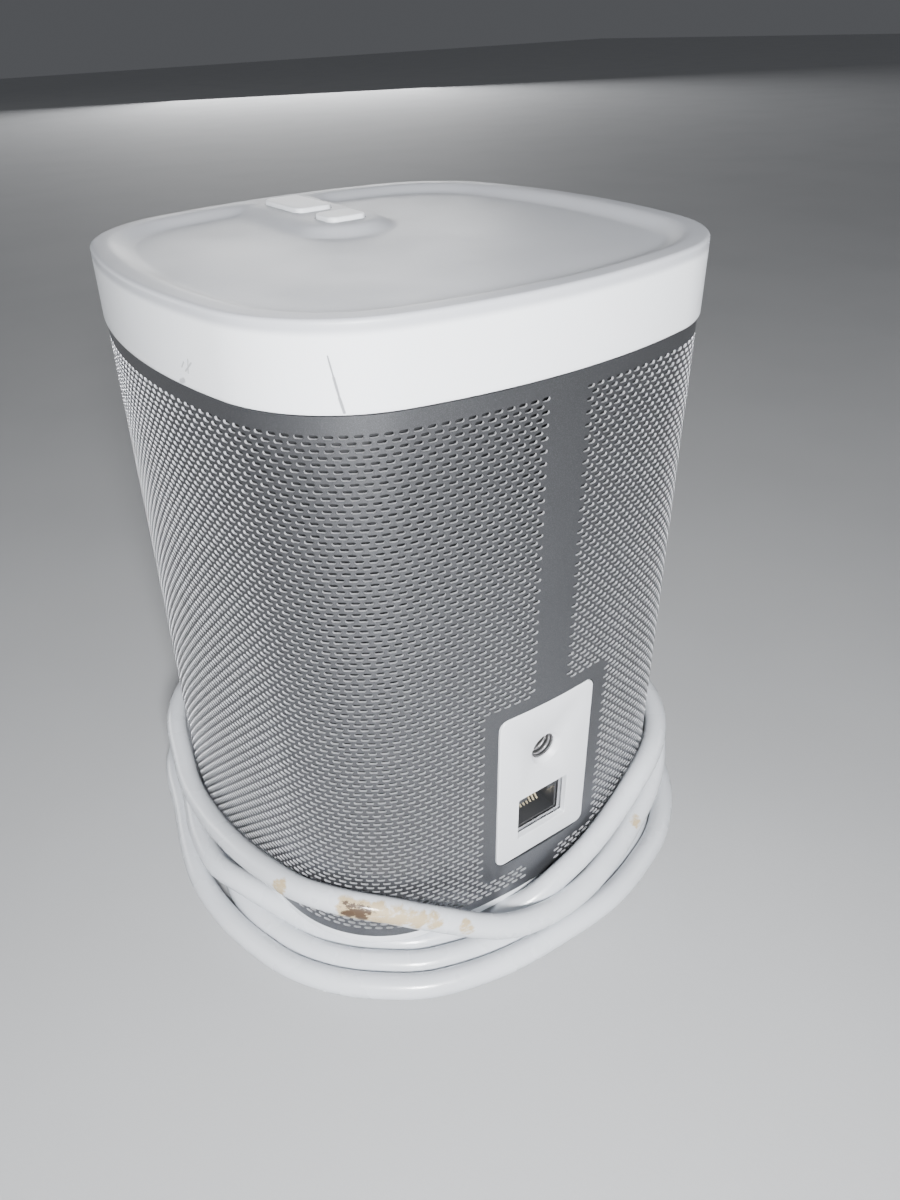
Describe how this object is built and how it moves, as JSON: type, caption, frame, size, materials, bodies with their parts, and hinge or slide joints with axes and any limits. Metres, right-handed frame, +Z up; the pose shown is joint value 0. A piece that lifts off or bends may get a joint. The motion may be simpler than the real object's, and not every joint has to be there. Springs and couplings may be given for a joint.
{
  "type": "smart speaker",
  "caption": "Rounded-square smart speaker with a white cap and keys, a perforated metal grille, a rear socket panel and its mains lead wound round the base.",
  "frame": {"origin": "on the floor under the middle of the cabinet", "axes": "+Z up; the front (drivers, volume key) faces -Y and the socket panel faces +Y"},
  "size_m": [0.1666, 0.1987, 0.1614],
  "materials": {
    "white_shell": "satin white moulding",
    "white_cord": "glossy white flexible moulding",
    "grey_grille": "fine metallic grey paint on perforated steel",
    "black_moulding": "black moulding",
    "steel": "bright plated steel",
    "blade_metal": "plated contact metal",
    "board": "green solder-masked board",
    "aluminium": "bare",
    "ferrite": "dark sintered",
    "cone": "woven dark grey",
    "soft_rubber": "matt black",
    "coil_copper": "enamelled copper wire",
    "cloth": "resin-stiffened cloth",
    "foam": "open-cell foam",
    "clear": "clear moulding",
    "flat_cable": "flat white cable"
  },
  "bodies": {
    "cabinet": {"acoustic_chamber": "black_moulding", "antenna_left": "board", "antenna_right": "board", "base_ring": "white_shell", "base_screw_1": "steel", "base_screw_2": "steel", "base_screw_3": "steel", "base_screw_4": "steel", "bottom_cover": "white_shell", "cord_connector": "white_cord", "cord_lead": "white_cord", "cord_tail": "white_cord", "cord_winding": "white_cord", "damping_pad": "foam", "front_baffle": "black_moulding", "grille": "grey_grille", "heat_sink": "aluminium", "key_board": "board", "main_board": "board", "network_socket_contacts": "blade_metal", "network_socket_insert": "black_moulding", "network_socket_shield": "steel", "play_switch": "steel", "plug_blades": "blade_metal", "plug_body": "white_cord", "power_board": "board", "power_capacitor": "black_moulding", "power_inlet": "black_moulding", "power_transformer": "ferrite", "processor_chip": "black_moulding", "rear_housing": "black_moulding", "rear_panel": "white_shell", "ribbon_cable": "flat_cable", "rubber_foot": "soft_rubber", "status_light_pipe": "clear", "threaded_insert": "steel", "top_cap": "white_shell", "top_frame": "black_moulding", "tweeter_faceplate": "black_moulding", "tweeter_magnet": "ferrite", "volume_down_switch": "steel", "volume_key_pin": "steel", "volume_up_switch": "steel", "woofer_basket": "steel", "woofer_magnet": "ferrite", "woofer_screw_1": "steel", "woofer_screw_2": "steel", "woofer_screw_3": "steel", "woofer_screw_4": "steel", "woofer_spider": "cloth", "woofer_surround": "soft_rubber"},
    "volume_key_body": {"volume_key": "white_shell"},
    "play_key_body": {"play_key": "white_shell"},
    "volume_down_plunger_body": {"volume_down_plunger": "black_moulding"},
    "volume_up_plunger_body": {"volume_up_plunger": "black_moulding"},
    "play_plunger_body": {"play_plunger": "black_moulding"},
    "woofer_moving": {"woofer_cone": "cone", "woofer_dust_cap": "cone", "woofer_voice_coil": "coil_copper"},
    "tweeter_moving": {"tweeter_dome": "aluminium"}
  },
  "joints": [
    {"name": "volume_rock", "type": "hinge", "parent": "cabinet", "child": "volume_key_body", "pos_m": [0, -0.0419, 0.155], "axis": [1, 0, 0], "range_deg": [-2, 2], "stiffness_Nm_per_rad": 0.25},
    {"name": "play_press", "type": "slide", "parent": "cabinet", "child": "play_key_body", "axis": [0, 0, 1], "range_m": [-0.0003, 0], "stiffness_N_per_m": 900},
    {"name": "volume_down_click", "type": "slide", "parent": "cabinet", "child": "volume_down_plunger_body", "axis": [0, 0, 1], "range_m": [-0.00025, 0.00025]},
    {"name": "volume_up_click", "type": "slide", "parent": "cabinet", "child": "volume_up_plunger_body", "axis": [0, 0, 1], "range_m": [-0.00025, 0.00025]},
    {"name": "play_click", "type": "slide", "parent": "cabinet", "child": "play_plunger_body", "axis": [0, 0, 1], "range_m": [-0.0003, 0]},
    {"name": "woofer_excursion", "type": "slide", "parent": "cabinet", "child": "woofer_moving", "axis": [0, -1, 0], "range_m": [-0.003, 0.003], "stiffness_N_per_m": 1500, "deforming": ["woofer_surround", "woofer_spider"]},
    {"name": "tweeter_excursion", "type": "slide", "parent": "cabinet", "child": "tweeter_moving", "axis": [0, -1, 0], "range_m": [-0.0003, 0.0003], "stiffness_N_per_m": 1500}
  ],
  "couplings": [
    {"joint": "volume_down_click", "follows": "volume_rock", "m_per_rad": -0.0066},
    {"joint": "volume_up_click", "follows": "volume_rock", "m_per_rad": 0.0066},
    {"joint": "play_click", "follows": "play_press", "ratio": 1}
  ]
}
